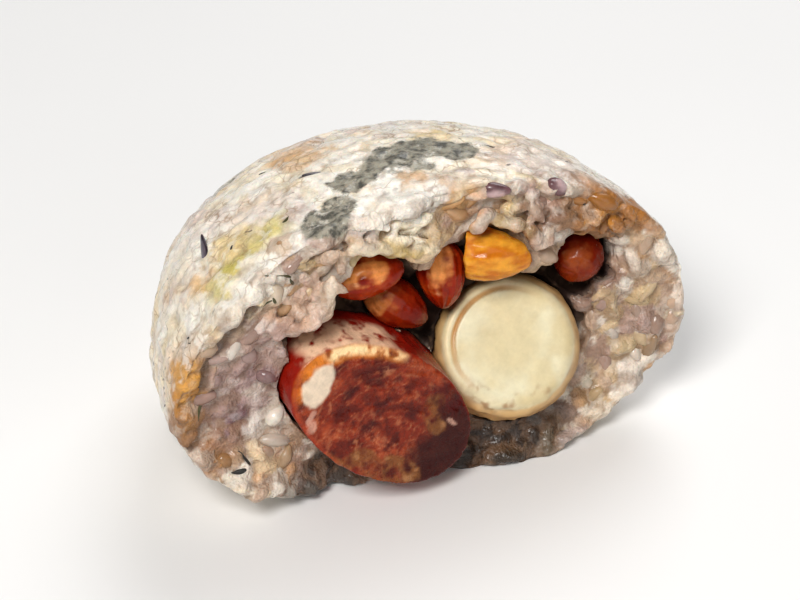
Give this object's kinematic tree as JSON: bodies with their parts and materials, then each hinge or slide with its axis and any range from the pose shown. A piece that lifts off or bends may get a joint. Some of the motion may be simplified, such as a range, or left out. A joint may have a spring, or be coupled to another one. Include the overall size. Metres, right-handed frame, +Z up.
{
  "type": "sticky rice roll",
  "caption": "Cut half of an oval sticky rice roll with a torn face that shows its sausage, chestnut and peanut fillings.",
  "frame": {"origin": "on the surface the roll rests on, under the middle of its bounding box", "axes": "+Z up, +X along the cut face, its widest side; the cut face looks to -Y and the round end to +Y"},
  "size_m": [0.0964, 0.0646, 0.0567],
  "materials": {
    "cooked_rice": "cooked glutinous rice, translucent cream white with mauve and amber stains, damp gloss",
    "sausage_meat": "cured dark red sausage with white fat, damp and slightly oily",
    "chestnut_flesh": "boiled peeled chestnut, waxy cream yellow with a golden brown rim",
    "peanut_skin": "boiled peanut in its dark red-brown skin, wet gloss",
    "peanut_flesh": "amber cut peanut kernel with a strip of dark skin, wet gloss"
  },
  "bodies": {
    "root": {"rice": "cooked_rice", "sausage": "sausage_meat", "chestnut": "chestnut_flesh", "peanut_left": "peanut_skin", "peanut_lower": "peanut_skin", "peanut_middle": "peanut_skin", "peanut_right": "peanut_skin", "peanut_kernel": "peanut_flesh"}
  },
  "joints": []
}
